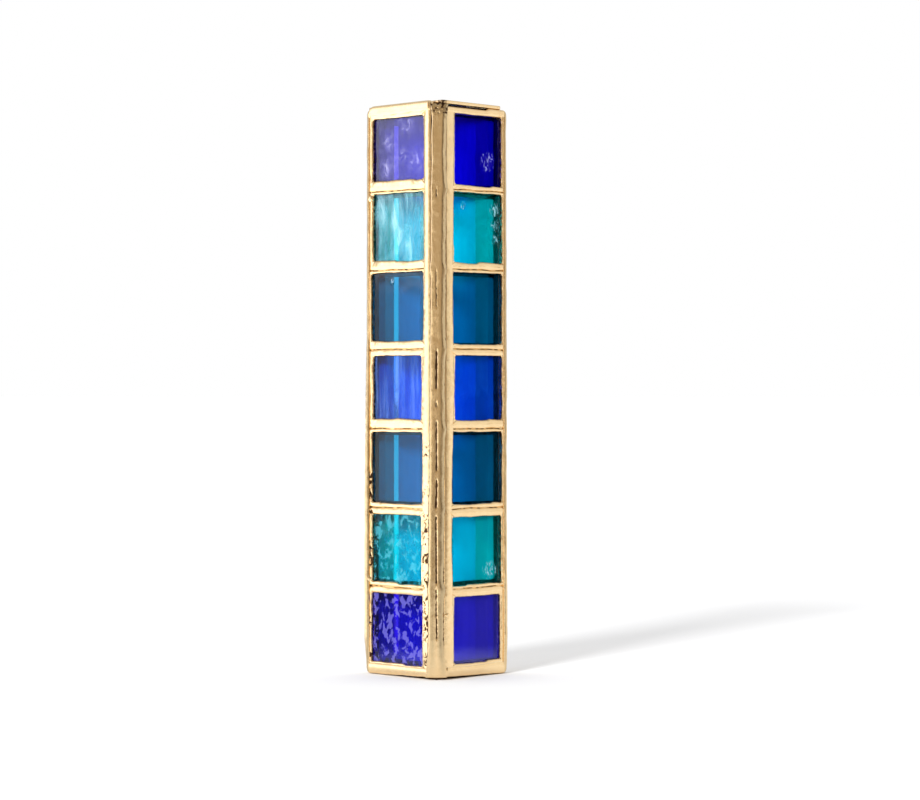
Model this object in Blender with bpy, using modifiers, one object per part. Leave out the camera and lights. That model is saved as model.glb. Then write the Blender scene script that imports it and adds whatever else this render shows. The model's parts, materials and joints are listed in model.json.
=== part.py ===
"""Mezuzah case: a triangular prism of copper-foil glass with a slide-out back.

Two walls of seven glass panes meet at a right angle in the front corner. Copper foil
wraps the edge of every pane, solder joins the foils, and a rounded bead of solder joins
the walls. Two channels along the rear edges hold the back plate, which is soldered under
the lid: lid and back plate lift straight up and off, and the scroll can be taken out.

World axes: +Z up, -Y is the front corner, +Y the flat back that goes on a doorpost.
The origin is the centre of the footprint, on the ground.
"""

import math

import bmesh
import bpy

MM = 0.001

# Driving dimensions
ROWS = 7
CASE_HEIGHT = 125.0 * MM
CASE_DEPTH = 17.12 * MM
ROW_PITCH = 17.3 * MM
FIRST_ROW_Z = 10.8 * MM

GLASS_WIDTH = 17.1 * MM
GLASS_HEIGHT = 16.5 * MM
GLASS_THICK = 3.0 * MM
GLASS_ARRIS = 0.15 * MM

FOIL_THICK = 0.15 * MM
FOIL_OVERLAP = 1.2 * MM
FIT = 0.05 * MM  # clearance between pieces that solder or foil joins

BEAD_RISE = 0.6 * MM  # how far the outer solder stands proud of the foil
BEAD_ROUND = 0.2 * MM
INNER_BEAD_RISE = 0.3 * MM
INNER_BEAD_WIDTH = 2.4 * MM

SEAM_WIDTH = 3.6 * MM
SEAM_REACH = 4.25 * MM  # from the walls' inner corner to the front of the bead

CHANNEL_DEPTH = 2.4 * MM
CHANNEL_WALL = 0.5 * MM
CHANNEL_HALF_WIDTH = 15.25 * MM
GROOVE_FLOOR_X = 9.6 * MM
LEFT_LIP_X = 8.4 * MM
RIGHT_LIP_X = 7.6 * MM

PLATE_THICK = 0.8 * MM  # lid, bottom and back plate are cut from one gauge
PLATE_HALF_WIDTH = 9.3 * MM
PLATE_RELIEF_X = 7.4 * MM
PLATE_EAR_HEIGHT = 3.4 * MM
LID_GAP = 0.1 * MM
LID_FILLET = 1.5 * MM
LID_FILLET_LENGTH = 13.0 * MM

SCROLL_LENGTH = 100.0 * MM
SCROLL_TURNS = 5
SCROLL_CORE_RADIUS = 0.75 * MM
SCROLL_PITCH = 0.3 * MM
PARCHMENT_THICK = 0.2 * MM
SLEEVE_FILM = 0.15 * MM
SLEEVE_LENGTH = 102.0 * MM
SCROLL_SETBACK = 4.4 * MM  # from the walls' inner corner to the scroll's axis

# Sizes that follow from them
WALL_THICK = GLASS_THICK + 2 * (FOIL_THICK + FIT)
WALL_LENGTH = GLASS_WIDTH + 2 * (FOIL_THICK + FIT)
PANE_HEIGHT = GLASS_HEIGHT + 2 * (FOIL_THICK + FIT)
SEAM_GAP = ROW_PITCH - PANE_HEIGHT
WINDOW_HALF_HEIGHT = PANE_HEIGHT / 2 - FOIL_OVERLAP
SIN_45 = math.sqrt(0.5)

BACK_Y = CASE_DEPTH / 2
WALL_REAR_Y = BACK_Y - CHANNEL_WALL
WALL_REAR_X = WALL_LENGTH * SIN_45
INNER_CORNER_Y = WALL_REAR_Y - WALL_REAR_X
PLATE_FRONT_Y = BACK_Y - CHANNEL_WALL - 0.3 * MM - PLATE_THICK
FRAME_BOTTOM = PLATE_THICK + FIT
FRAME_TOP = CASE_HEIGHT - PLATE_THICK - LID_GAP

# Colours of the materials: base colour, metallic, roughness
FINISHES = {
    "glass_cobalt": ((0.03, 0.01, 0.55), 0.0, 0.08),
    "glass_turquoise": ((0.02, 0.45, 0.75), 0.0, 0.10),
    "glass_petrol": ((0.02, 0.14, 0.36), 0.0, 0.05),
    "glass_royal": ((0.01, 0.08, 0.60), 0.0, 0.08),
    "gold_plating": ((0.83, 0.60, 0.32), 1.0, 0.25),
    "copper_foil": ((0.72, 0.38, 0.20), 1.0, 0.35),
    "steel_plate": ((0.62, 0.62, 0.60), 1.0, 0.35),
    "parchment": ((0.80, 0.70, 0.50), 0.0, 0.80),
    "clear_film": ((0.90, 0.92, 0.95), 0.0, 0.15),
}
GLASS_BY_ROW = (
    "glass_cobalt",
    "glass_turquoise",
    "glass_petrol",
    "glass_royal",
    "glass_petrol",
    "glass_turquoise",
    "glass_cobalt",
)


def clear_scene():
    for old in list(bpy.data.objects):
        bpy.data.objects.remove(old)


def new_collection(name):
    collection = bpy.data.collections.new(name)
    bpy.context.scene.collection.children.link(collection)
    return collection


def make_materials():
    made = {}
    for name, (colour, metallic, roughness) in FINISHES.items():
        material = bpy.data.materials.new(name)
        material.use_nodes = True
        shader = material.node_tree.nodes["Principled BSDF"]
        shader.inputs["Base Color"].default_value = (*colour, 1.0)
        shader.inputs["Metallic"].default_value = metallic
        shader.inputs["Roughness"].default_value = roughness
        material.diffuse_color = (*colour, 1.0)
        made[name] = material
    return made


def add_object(name, data, material, parent=None, collection=None):
    obj = bpy.data.objects.new(name, data)
    (collection or PARTS).objects.link(obj)
    obj.parent = parent
    if not data.materials:
        data.materials.append(MATERIALS[material])
    return obj


def flat_curve(name, loops, thickness, rounding=0.0):
    """A filled 2D curve, extruded to this thickness about its own plane."""
    curve = bpy.data.curves.new(name, "CURVE")
    curve.dimensions = "2D"
    curve.fill_mode = "BOTH"
    curve.extrude = thickness / 2 - rounding
    curve.bevel_depth = rounding
    curve.bevel_resolution = 1
    curve.offset = -rounding
    for loop in loops:
        spline = curve.splines.new("POLY")
        spline.points.add(len(loop) - 1)
        for point, (x, y) in zip(spline.points, loop):
            point.co = (x, y, 0.0, 1.0)
        spline.use_cyclic_u = True
    return curve


def meshed(obj):
    """The same object with its curve made a mesh, so that a Boolean can use it."""
    bpy.context.view_layer.update()
    graph = bpy.context.evaluated_depsgraph_get()
    mesh = bpy.data.meshes.new_from_object(obj.evaluated_get(graph))
    welder = bmesh.new()
    welder.from_mesh(mesh)
    bmesh.ops.remove_doubles(welder, verts=welder.verts, dist=1e-6)
    welder.to_mesh(mesh)
    welder.free()
    made = bpy.data.objects.new(obj.name, mesh)
    obj.users_collection[0].objects.link(made)
    made.parent = obj.parent
    made.matrix_world = obj.matrix_world
    name = obj.name
    bpy.data.objects.remove(obj)
    made.name = name
    return made


def rectangle(low_x, high_x, low_y, high_y, reverse=False):
    loop = [(low_x, low_y), (high_x, low_y), (high_x, high_y), (low_x, high_y)]
    return loop[::-1] if reverse else loop


def mirrored(half):
    """A closed outline from its right half, listed from the front to the back."""
    return half + [(-x, y) for x, y in reversed(half) if x > 0.0]


def arc(centre_y, radius, start, end, steps):
    """Points round (0, centre_y); 0 degrees is the front and 90 the right."""
    turn = [math.radians(start + (end - start) * i / steps) for i in range(steps + 1)]
    return [(radius * math.sin(a), centre_y - radius * math.cos(a)) for a in turn]


def row_z(row):
    return FIRST_ROW_Z + row * ROW_PITCH


def make_wall_frame(side):
    """An empty at the walls' inner corner whose +X runs back along this wall."""
    frame = bpy.data.objects.new(f"{side}_wall", None)
    PARTS.objects.link(frame)
    frame.location = (0.0, INNER_CORNER_Y, 0.0)
    frame.rotation_euler = (0.0, 0.0, math.radians(135 if side == "left" else 45))
    return frame


def make_glass_mesh():
    mesh = bpy.data.meshes.new("glass_pane")
    shape = bmesh.new()
    bmesh.ops.create_cube(shape, size=1.0)
    bmesh.ops.scale(shape, vec=(GLASS_WIDTH, GLASS_THICK, GLASS_HEIGHT), verts=shape.verts)
    bmesh.ops.bevel(
        shape, geom=shape.edges[:], offset=GLASS_ARRIS, segments=1, affect="EDGES"
    )
    shape.to_mesh(mesh)
    shape.free()
    return mesh


def make_foil_mesh():
    """The outside of a foil frame: a box skin with a window in its front and its back."""
    mesh = bpy.data.meshes.new("foil_frame")
    shape = bmesh.new()
    bmesh.ops.create_cube(shape, size=1.0)
    bmesh.ops.scale(shape, vec=(WALL_LENGTH, WALL_THICK, PANE_HEIGHT), verts=shape.verts)
    windows = [face for face in shape.faces if abs(face.normal.y) > 0.5]
    bmesh.ops.inset_individual(shape, faces=windows, thickness=FOIL_OVERLAP)
    bmesh.ops.delete(shape, geom=windows, context="FACES")
    shape.to_mesh(mesh)
    shape.free()
    return mesh


def make_panes(side, frame, outward):
    """Seven panes and their foils, bottom to top."""
    foil_mesh = make_foil_mesh()
    place = (WALL_LENGTH / 2, outward * WALL_THICK / 2)
    for row, glass in enumerate(GLASS_BY_ROW):
        pane = add_object(f"glass_{side}_{row + 1}", make_glass_mesh(), glass, frame)
        pane.location = (*place, row_z(row))
        foil = add_object(f"foil_{side}_{row + 1}", foil_mesh, "copper_foil", frame)
        foil.location = (*place, row_z(row))
        skin = foil.modifiers.new("foil_thickness", "SOLIDIFY")
        skin.thickness = FOIL_THICK
        skin.offset = -1.0
        skin.use_even_offset = True


def solder_rail(name, half_height, frame, outward):
    """A level solder rail: a web between two foils with a low bead on its inner side.

    Its section is drawn across the wall (x) and up (y), and it is swept along the wall.
    """
    reach = WALL_THICK + FIT + BEAD_RISE / 2
    bead = INNER_BEAD_WIDTH / 2
    section = [
        (reach, -half_height),
        (reach, half_height),
        (-FIT, half_height),
        (-FIT, bead),
        (-FIT - INNER_BEAD_RISE * 0.6, bead * 0.85),
        (-FIT - INNER_BEAD_RISE, bead * 0.4),
        (-FIT - INNER_BEAD_RISE, -bead * 0.4),
        (-FIT - INNER_BEAD_RISE * 0.6, -bead * 0.85),
        (-FIT, -bead),
        (-FIT, -half_height),
    ]
    section = [(outward * across, up) for across, up in section]
    length = WALL_LENGTH - 2.0 * FOIL_OVERLAP - CHANNEL_DEPTH
    curve = flat_curve(name, [section], length)
    rail = add_object(name, curve, "gold_plating", frame, HELPERS)
    rail.rotation_euler = (math.pi / 2, 0.0, math.pi / 2)
    rail.location = (FOIL_OVERLAP + length / 2, 0.0, 0.0)
    return rail


def end_rail(name, low, high, frame, outward):
    """The solid solder that fills the wall above its top foils or below its bottom ones."""
    far = WALL_THICK + FIT + BEAD_RISE / 2
    curve = flat_curve(name, [rectangle(2 * FIT, WALL_LENGTH - 2 * FIT, low, high)], far)
    rail = add_object(name, curve, "gold_plating", frame, HELPERS)
    rail.rotation_euler = (math.pi / 2, 0.0, 0.0)
    rail.location = (0.0, outward * far / 2, 0.0)
    return rail


def make_solder_grid(side, frame, outward):
    """One casting of solder for each wall: an outer ladder with webs between the foils."""
    loops = [rectangle(2 * FIT, WALL_LENGTH - 2 * FIT, FRAME_BOTTOM, FRAME_TOP)]
    for row in range(ROWS):
        low = row_z(row) - WINDOW_HALF_HEIGHT
        high = row_z(row) + WINDOW_HALF_HEIGHT
        opening = rectangle(FOIL_OVERLAP, WALL_LENGTH - FOIL_OVERLAP, low, high, True)
        loops.append(opening)
    name = f"solder_grid_{side}"
    curve = flat_curve(name, loops, BEAD_RISE, BEAD_ROUND)
    ladder = add_object(name, curve, "gold_plating", frame)
    ladder.rotation_euler = (math.pi / 2, 0.0, 0.0)
    ladder.location = (0.0, outward * (WALL_THICK + FIT + BEAD_RISE / 2), 0.0)
    ladder = meshed(ladder)

    tools = bpy.data.collections.new(f"{name}_rails")
    HELPERS.children.link(tools)
    rails = []
    for row in range(ROWS - 1):
        rail = solder_rail(f"{name}_web_{row + 1}", SEAM_GAP / 2 - FIT, frame, outward)
        rail.location.z = row_z(row) + ROW_PITCH / 2
        rails.append(rail)
    lowest = row_z(0) - PANE_HEIGHT / 2 - FIT
    highest = row_z(ROWS - 1) + PANE_HEIGHT / 2 + FIT
    rails.append(end_rail(f"{name}_foot", FRAME_BOTTOM, lowest, frame, outward))
    rails.append(end_rail(f"{name}_head", highest, FRAME_TOP, frame, outward))
    for rail in rails:
        solid = meshed(rail)
        HELPERS.objects.unlink(solid)
        tools.objects.link(solid)
        solid.hide_render = True
        solid.display_type = "WIRE"
    joined = ladder.modifiers.new("rails", "BOOLEAN")
    joined.operation = "UNION"
    joined.operand_type = "COLLECTION"
    joined.collection = tools


def standing_prism(name, outline, low, high, material, rounding=0.0):
    """A plan outline carried straight up from one height to another."""
    curve = flat_curve(name, [outline], high - low, rounding)
    prism = add_object(name, curve, material)
    prism.location = (0.0, 0.0, (low + high) / 2)
    return prism


def make_corner_seam():
    """The solder that fills the V between the walls, with a blunt rounded nose in front."""
    slack = FIT / SIN_45
    foil_edge = WALL_THICK * SIN_45
    face = (WALL_THICK + FIT + BEAD_RISE) * SIN_45
    half = SEAM_WIDTH / 2
    sagitta = SEAM_REACH - (2 * face - half)
    radius = (half**2 + sagitta**2) / (2 * sagitta)
    spread = math.degrees(math.asin(half / radius))
    bead = arc(radius - SEAM_REACH, radius, 0, spread, 6)
    sides = [(face, -face), (foil_edge, -foil_edge - slack), (0.0, -2 * slack)]
    outline = mirrored(bead + sides)
    outline = [(x, y + INNER_CORNER_Y) for x, y in outline]
    standing_prism("corner_seam", outline, FRAME_BOTTOM, FRAME_TOP, "gold_plating")


def make_channel(side, lip_x):
    """A U section that opens towards the middle, run along a wall's rear edge."""
    slack = 2 * FIT
    front_y = BACK_Y - CHANNEL_DEPTH
    outer_x = WALL_REAR_X + WALL_THICK * SIN_45
    outer_y = WALL_REAR_Y - WALL_THICK * SIN_45
    inner_x = front_y - INNER_CORNER_Y - slack
    outline = [
        (lip_x, BACK_Y),
        (CHANNEL_HALF_WIDTH - 0.7 * MM, BACK_Y),
        (CHANNEL_HALF_WIDTH - 0.2 * MM, BACK_Y - 0.25 * MM),
        (CHANNEL_HALF_WIDTH, BACK_Y - 0.9 * MM),
        (CHANNEL_HALF_WIDTH, outer_y + slack),
        (outer_x + slack, outer_y + slack),
        (WALL_REAR_X + slack, WALL_REAR_Y + slack),
        (WALL_REAR_X - 2 * slack, WALL_REAR_Y + slack / 2),
        (inner_x, front_y),
        (lip_x, front_y),
        (lip_x, front_y + CHANNEL_WALL),
        (GROOVE_FLOOR_X, front_y + CHANNEL_WALL),
        (GROOVE_FLOOR_X, BACK_Y - CHANNEL_WALL),
        (lip_x, BACK_Y - CHANNEL_WALL),
    ]
    if side == "left":
        outline = [(-x, y) for x, y in reversed(outline)]
    standing_prism(f"{side}_channel", outline, FRAME_BOTTOM, FRAME_TOP, "gold_plating")


def case_outline():
    """The plan of the closed case, which lid and bottom plate share.

    Its nose is an arc that touches both outer faces and the front of the corner bead.
    """
    face = (WALL_THICK + FIT + BEAD_RISE) * SIN_45
    setback = (2 * face - SEAM_REACH / SIN_45) / (1 / SIN_45 - 1)
    nose = arc(INNER_CORNER_Y + setback, SEAM_REACH + setback, 0, 45, 6)
    half = nose + [
        (CHANNEL_HALF_WIDTH, INNER_CORNER_Y + CHANNEL_HALF_WIDTH - 2 * face),
        (CHANNEL_HALF_WIDTH, BACK_Y - 0.9 * MM),
        (CHANNEL_HALF_WIDTH - 0.2 * MM, BACK_Y - 0.25 * MM),
        (CHANNEL_HALF_WIDTH - 0.7 * MM, BACK_Y),
    ]
    return mirrored(half)


def make_end_plates():
    outline = case_outline()
    rounding = 0.15 * MM
    standing_prism("bottom_cap", outline, 0.0, PLATE_THICK, "gold_plating", rounding)
    lid_low = CASE_HEIGHT - PLATE_THICK
    standing_prism("lid", outline, lid_low, CASE_HEIGHT, "gold_plating", rounding)


def make_back_plate():
    """A flat plate in both grooves; its left edge is cut back between two ears."""
    low = PLATE_THICK + LID_GAP
    high = CASE_HEIGHT - PLATE_THICK - FIT
    outline = [
        (-PLATE_HALF_WIDTH, low),
        (PLATE_HALF_WIDTH, low),
        (PLATE_HALF_WIDTH, high),
        (-PLATE_HALF_WIDTH, high),
        (-PLATE_HALF_WIDTH, high - PLATE_EAR_HEIGHT),
        (-PLATE_RELIEF_X, high - PLATE_EAR_HEIGHT),
        (-PLATE_RELIEF_X, low + PLATE_EAR_HEIGHT),
        (-PLATE_HALF_WIDTH, low + PLATE_EAR_HEIGHT),
    ]
    curve = flat_curve("back_plate", [outline], PLATE_THICK)
    plate = add_object("back_plate", curve, "steel_plate")
    plate.rotation_euler = (math.pi / 2, 0.0, 0.0)
    plate.location = (0.0, PLATE_FRONT_Y + PLATE_THICK / 2, 0.0)


def make_lid_fillet():
    """The run of solder in the corner between the lid and the back plate."""
    top = CASE_HEIGHT - PLATE_THICK - FIT
    back = PLATE_FRONT_Y - FIT
    hollow = 0.35
    section = [
        (back, top),
        (back - LID_FILLET, top),
        (back - LID_FILLET * hollow, top - LID_FILLET * hollow),
        (back, top - LID_FILLET),
    ]
    curve = flat_curve("lid_solder_fillet", [section], LID_FILLET_LENGTH)
    fillet = add_object("lid_solder_fillet", curve, "gold_plating")
    fillet.rotation_euler = (math.pi / 2, 0.0, math.pi / 2)


def make_scroll():
    """A parchment sheet wound in a spiral, in a tube of clear film open at both ends."""
    centre = (0.0, INNER_CORNER_Y + SCROLL_SETBACK)
    steps_per_turn = 20
    steps = SCROLL_TURNS * steps_per_turn
    inner, outer = [], []
    for i in range(steps + 1):
        turn = i / steps_per_turn
        angle = 2 * math.pi * turn
        radius = SCROLL_CORE_RADIUS + SCROLL_PITCH * turn
        inner.append((radius * math.cos(angle), radius * math.sin(angle)))
        radius += PARCHMENT_THICK
        outer.append((radius * math.cos(angle), radius * math.sin(angle)))
    sheet = flat_curve("scroll", [outer + inner[::-1]], SCROLL_LENGTH)
    scroll = add_object("scroll", sheet, "parchment")
    floor = PLATE_THICK + LID_GAP
    scroll.location = (*centre, floor + SCROLL_LENGTH / 2)

    bore = SCROLL_CORE_RADIUS + SCROLL_PITCH * SCROLL_TURNS + PARCHMENT_THICK + FIT
    walls = [arc(0.0, bore + SLEEVE_FILM, 0, 352.5, 47), arc(0.0, bore, 352.5, 0, 47)]
    sleeve = add_object(
        "scroll_sleeve", flat_curve("scroll_sleeve", walls, SLEEVE_LENGTH), "clear_film"
    )
    sleeve.location = (*centre, floor + SLEEVE_LENGTH / 2)


clear_scene()
PARTS = new_collection("mezuzah_case")
HELPERS = new_collection("helpers")
MATERIALS = make_materials()

for wall_side, wall_outward in (("left", 1), ("right", -1)):
    wall = make_wall_frame(wall_side)
    make_panes(wall_side, wall, wall_outward)
    make_solder_grid(wall_side, wall, wall_outward)
make_corner_seam()
make_channel("left", LEFT_LIP_X)
make_channel("right", RIGHT_LIP_X)
make_end_plates()
make_back_plate()
make_lid_fillet()
make_scroll()
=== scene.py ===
import functools
import json
import math

import bmesh
import bpy
import numpy as np
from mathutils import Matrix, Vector, noise

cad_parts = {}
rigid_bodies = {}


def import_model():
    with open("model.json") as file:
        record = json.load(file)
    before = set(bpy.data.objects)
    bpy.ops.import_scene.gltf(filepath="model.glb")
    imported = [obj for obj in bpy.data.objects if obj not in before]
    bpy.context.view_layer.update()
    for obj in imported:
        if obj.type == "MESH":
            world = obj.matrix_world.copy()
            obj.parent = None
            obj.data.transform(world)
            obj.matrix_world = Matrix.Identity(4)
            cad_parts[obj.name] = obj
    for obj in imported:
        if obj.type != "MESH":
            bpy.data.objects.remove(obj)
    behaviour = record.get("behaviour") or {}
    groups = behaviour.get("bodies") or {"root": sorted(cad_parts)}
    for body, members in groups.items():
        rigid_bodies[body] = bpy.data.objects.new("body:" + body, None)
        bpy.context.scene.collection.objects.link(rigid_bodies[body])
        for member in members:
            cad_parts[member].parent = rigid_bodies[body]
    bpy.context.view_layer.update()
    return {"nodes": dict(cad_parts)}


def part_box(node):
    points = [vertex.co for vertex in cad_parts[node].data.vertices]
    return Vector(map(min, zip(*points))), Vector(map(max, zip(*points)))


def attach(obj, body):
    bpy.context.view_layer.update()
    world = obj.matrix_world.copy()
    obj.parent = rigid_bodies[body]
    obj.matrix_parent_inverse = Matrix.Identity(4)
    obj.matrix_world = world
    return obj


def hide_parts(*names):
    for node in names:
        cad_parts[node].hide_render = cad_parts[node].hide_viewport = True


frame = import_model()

# Looks of the mezuzah case: hand-soldered gold round fourteen panes of blue art glass.
#
# Each wall of the case has its own axes: s runs back along the wall from the front corner,
# t points out through the glass, z is up. Detail is given in those axes, in metres, and
# measured from the frame's foils, panes and plates. Rows are counted from the bottom.

MM = 0.001
SIN_45 = math.sqrt(0.5)
ROWS = 7

# ---------------------------------------------------------------- the frame's own places


def node_points(name):
    """A CAD node's vertices, as rows of x, y, z."""
    mesh = frame["nodes"][name].data
    points = np.empty(len(mesh.vertices) * 3, np.float32)
    mesh.vertices.foreach_get("co", points)
    return points.reshape(-1, 3).astype(float)


class Wall:
    """One glass wall, with its axes and the place of each pane in them."""

    def __init__(self, side):
        self.side = side
        self.is_left = side == "left"
        hand = -1.0 if self.is_left else 1.0
        self.along = np.array((hand * SIN_45, SIN_45))
        self.out = np.array((hand * SIN_45, -SIN_45))
        foil = node_points(f"foil_{side}_1")[:, :2]
        s, t = foil @ self.along, foil @ self.out
        self.corner = s.min() * self.along + t.min() * self.out
        self.length = np.ptp(s)
        self.thick = np.ptp(t)
        glass = node_points(f"glass_{side}_1")[:, :2] - self.corner
        s, t = glass @ self.along, glass @ self.out
        self.glass_s = s.min(), s.max()
        self.glass_t = t.min(), t.max()
        heights = [node_points(f"foil_{side}_{row + 1}")[:, 2] for row in range(ROWS)]
        self.rows = [(z.min(), z.max()) for z in heights]

    def place(self, s, t, z):
        """Arrays of wall coordinates as rows of x, y, z."""
        s, t, z = np.broadcast_arrays(s, t, z)
        plan = self.corner + s[..., None] * self.along + t[..., None] * self.out
        return np.concatenate([plan, z[..., None]], axis=-1)

    def joint(self, row):
        """The height of the joint between a row and the next one up."""
        return (self.rows[row][1] + self.rows[row + 1][0]) / 2


WALLS = {side: Wall(side) for side in ("left", "right")}
RIGHT = WALLS["right"]
CORNER_Y = float(RIGHT.corner[1])
FOIL_T = RIGHT.thick
GLASS_IN, GLASS_OUT = RIGHT.glass_t
ROW_PITCH = RIGHT.rows[1][0] - RIGHT.rows[0][0]
PANE_HEIGHT = RIGHT.rows[0][1] - RIGHT.rows[0][0]
BACK_Y = float(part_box("left_channel")[1].y)
RAIL_HIGH = float(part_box("corner_seam")[1].z)
CASE_HEIGHT = float(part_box("lid")[1].z)
PLATE_THICK = float(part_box("bottom_cap")[1].z)

# ---------------------------------------------------------------- mesh helpers


def clamp(value, low=0.0, high=1.0):
    return min(high, max(low, value))


def ripple(size, seed, x, y=0.0, z=0.0):
    """Smooth noise between about -1 and 1 whose lumps are this many millimetres across."""
    size = size * MM
    spot = Vector((x / size + seed * 7.31, y / size - seed * 3.77, z / size + seed * 1.93))
    return noise.noise(spot)


def ripples(size, seed, points):
    return np.array([ripple(size, seed, *point) for point in points])


def closed_mesh(name, points, faces):
    """A mesh with its faces turned out."""
    mesh = bpy.data.meshes.new(name)
    mesh.from_pydata([tuple(p) for p in points], [], [tuple(map(int, face)) for face in faces])
    mesh.validate()
    shape = bmesh.new()
    shape.from_mesh(mesh)
    bmesh.ops.recalc_face_normals(shape, faces=shape.faces)
    shape.to_mesh(mesh)
    shape.free()
    return mesh


def loft(name, grids, ring=False):
    """A mesh of tubes, each a grid of points whose rows are loops round it. A tube's ends are
    capped or, with ring set, joined to each other."""
    faces = []
    first = 0
    for grid in grids:
        rows, columns = grid.shape[:2]
        index = first + np.arange(rows * columns).reshape(rows, columns)
        for i in range(rows if ring else rows - 1):
            a, b = index[i], index[(i + 1) % rows]
            faces += zip(a, b, np.roll(b, -1), np.roll(a, -1))
        if not ring:
            faces += [index[0], index[-1][::-1]]
        first += rows * columns
    return closed_mesh(name, np.concatenate([grid.reshape(-1, 3) for grid in grids]), faces)


def store(mesh, name, values):
    """A number for each vertex, which a material can read by this name."""
    attribute = mesh.attributes.new(name, "FLOAT", "POINT")
    attribute.data.foreach_set("value", np.asarray(values, np.float32).ravel())


def add_piece(name, mesh, node, materials, body="case", smooth_angle=40.0):
    """Puts a mesh in the scene as a piece that rides on a body and stands for a CAD node."""
    piece = bpy.data.objects.new(name, mesh)
    bpy.context.scene.collection.objects.link(piece)
    for material in materials:
        mesh.materials.append(material)
    mesh.shade_smooth()
    mesh.set_sharp_from_angle(angle=math.radians(smooth_angle))
    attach(piece, body)
    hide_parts(node)
    return piece


# ---------------------------------------------------------------- node helpers


class Nodes:
    """Short names for building the node tree of a material or world."""

    def __init__(self, owner, output="ShaderNodeOutputMaterial"):
        owner.use_nodes = True
        self.owner = owner
        self.tree = owner.node_tree
        self.tree.nodes.clear()
        self.out = self.add(output)

    def add(self, kind, feeds=(), **settings):
        """A node with these settings, whose sockets are fed by name or number."""
        node = self.tree.nodes.new(kind)
        for key, value in settings.items():
            setattr(node, key, value)
        for key, value in dict(feeds).items():
            socket = node.inputs[key]
            if isinstance(value, bpy.types.NodeSocket):
                self.tree.links.new(value, socket)
            else:
                socket.default_value = (*value, 1.0) if socket.type == "RGBA" else value
        return node

    def place(self):
        """Object coordinates, in metres."""
        return self.add("ShaderNodeTexCoord").outputs["Object"]

    def scaled(self, scale, shift=(0.0, 0.0, 0.0), turn=0.0):
        """Object coordinates scaled to the size of a pattern and turned about the upright."""
        feeds = {"Vector": self.place(), "Location": shift, "Rotation": (0.0, 0.0, turn), "Scale": scale}
        return self.add("ShaderNodeMapping", feeds).outputs["Vector"]

    def split(self, vector):
        """The x, y and z of a vector."""
        return self.add("ShaderNodeSeparateXYZ", {0: vector}).outputs

    def noise(self, vector, scale, detail=3.0, rough=0.6, distort=0.0):
        feeds = {
            "Vector": vector,
            "Scale": scale,
            "Detail": detail,
            "Roughness": rough,
            "Distortion": distort,
        }
        return self.add("ShaderNodeTexNoise", feeds).outputs["Fac"]

    def span(self, value, low, high, to_low=0.0, to_high=1.0):
        """A smooth change from to_low to to_high as a value goes from low to high."""
        feeds = {"Value": value, "From Min": low, "From Max": high, "To Min": to_low, "To Max": to_high}
        return self.add("ShaderNodeMapRange", feeds, interpolation_type="SMOOTHSTEP").outputs["Result"]

    def band(self, value, low, full, fading, gone):
        """1 between full and fading, and 0 below low and above gone."""
        return self.times(self.span(value, low, full), self.span(value, fading, gone, 1.0, 0.0))

    def maths(self, operation, first, second):
        return self.add("ShaderNodeMath", {0: first, 1: second}, operation=operation).outputs[0]

    def times(self, *values):
        return functools.reduce(functools.partial(self.maths, "MULTIPLY"), values)

    def plus(self, *values):
        return functools.reduce(functools.partial(self.maths, "ADD"), values)

    def minus(self, first, second):
        return self.maths("SUBTRACT", first, second)

    def blend(self, factor, first, second):
        """A number between two others."""
        return self.add("ShaderNodeMix", {0: factor, 2: first, 3: second}, data_type="FLOAT").outputs[0]

    def mix(self, factor, first, second):
        """A colour between two others."""
        return self.add("ShaderNodeMix", {0: factor, 6: first, 7: second}, data_type="RGBA").outputs[2]

    def bump(self, height, strength, distance):
        feeds = {"Strength": strength, "Distance": distance, "Height": height}
        return self.add("ShaderNodeBump", feeds).outputs["Normal"]

    def attribute(self, name):
        return self.add("ShaderNodeAttribute", attribute_name=name).outputs["Fac"]

    def principled(self, **values):
        feeds = {key.replace("_", " "): value for key, value in values.items()}
        return self.add("ShaderNodeBsdfPrincipled", feeds).outputs[0]

    def finished(self, shader):
        """The material or world, with this as its surface."""
        self.tree.links.new(shader, self.out.inputs["Surface"])
        return self.owner


# ---------------------------------------------------------------- metal and skin

PER_MM = (1000.0, 1000.0, 1000.0)  # patterns scaled by it are sized in millimetres
# the brown of flux, also the colour of painted shade
FLUX_AND_SHADE = (0.09, 0.045, 0.02)
# tan brown: painted reflection and shade on the corner bead, and the channels' darker turned sides
TAN_BROWN = (0.43, 0.33, 0.19)


def gold_material():
    """Gold plating on hand-run solder: bright and wavy, brown with flux in its grooves, and brown where
    shade is painted on.
    """
    nodes = Nodes(bpy.data.materials.new("gold_plating"))
    place = nodes.scaled(PER_MM)
    cloud = nodes.noise(place, 0.35)
    fine = nodes.noise(place, 2.6, 4.0)
    patchy = nodes.span(nodes.noise(place, 1.3), 0.30, 0.70, -0.35, 0.35)
    # flux, pits and dark joints, and painted shade at glass edges, the corner bead, the lid gap and the
    # base's front edge
    darkening = nodes.span(nodes.plus(nodes.attribute("dirt"), patchy), 0.45, 0.95)
    plate = nodes.mix(nodes.span(cloud, 0.35, 0.65), (0.94, 0.70, 0.39), (0.90, 0.65, 0.35))
    # painted reflection bands and shade on the corner bead, and darker turned sides on the channels
    plate = nodes.mix(nodes.attribute("dull"), plate, TAN_BROWN)
    shader = nodes.principled(
        Base_Color=nodes.mix(darkening, plate, FLUX_AND_SHADE),
        Metallic=1.0,
        Roughness=nodes.plus(nodes.span(fine, 0.3, 0.7, 0.16, 0.27), nodes.times(darkening, 0.3)),
        Normal=nodes.bump(nodes.plus(fine, cloud), 0.35, 0.04 * MM),
    )
    return nodes.finished(shader)


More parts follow.
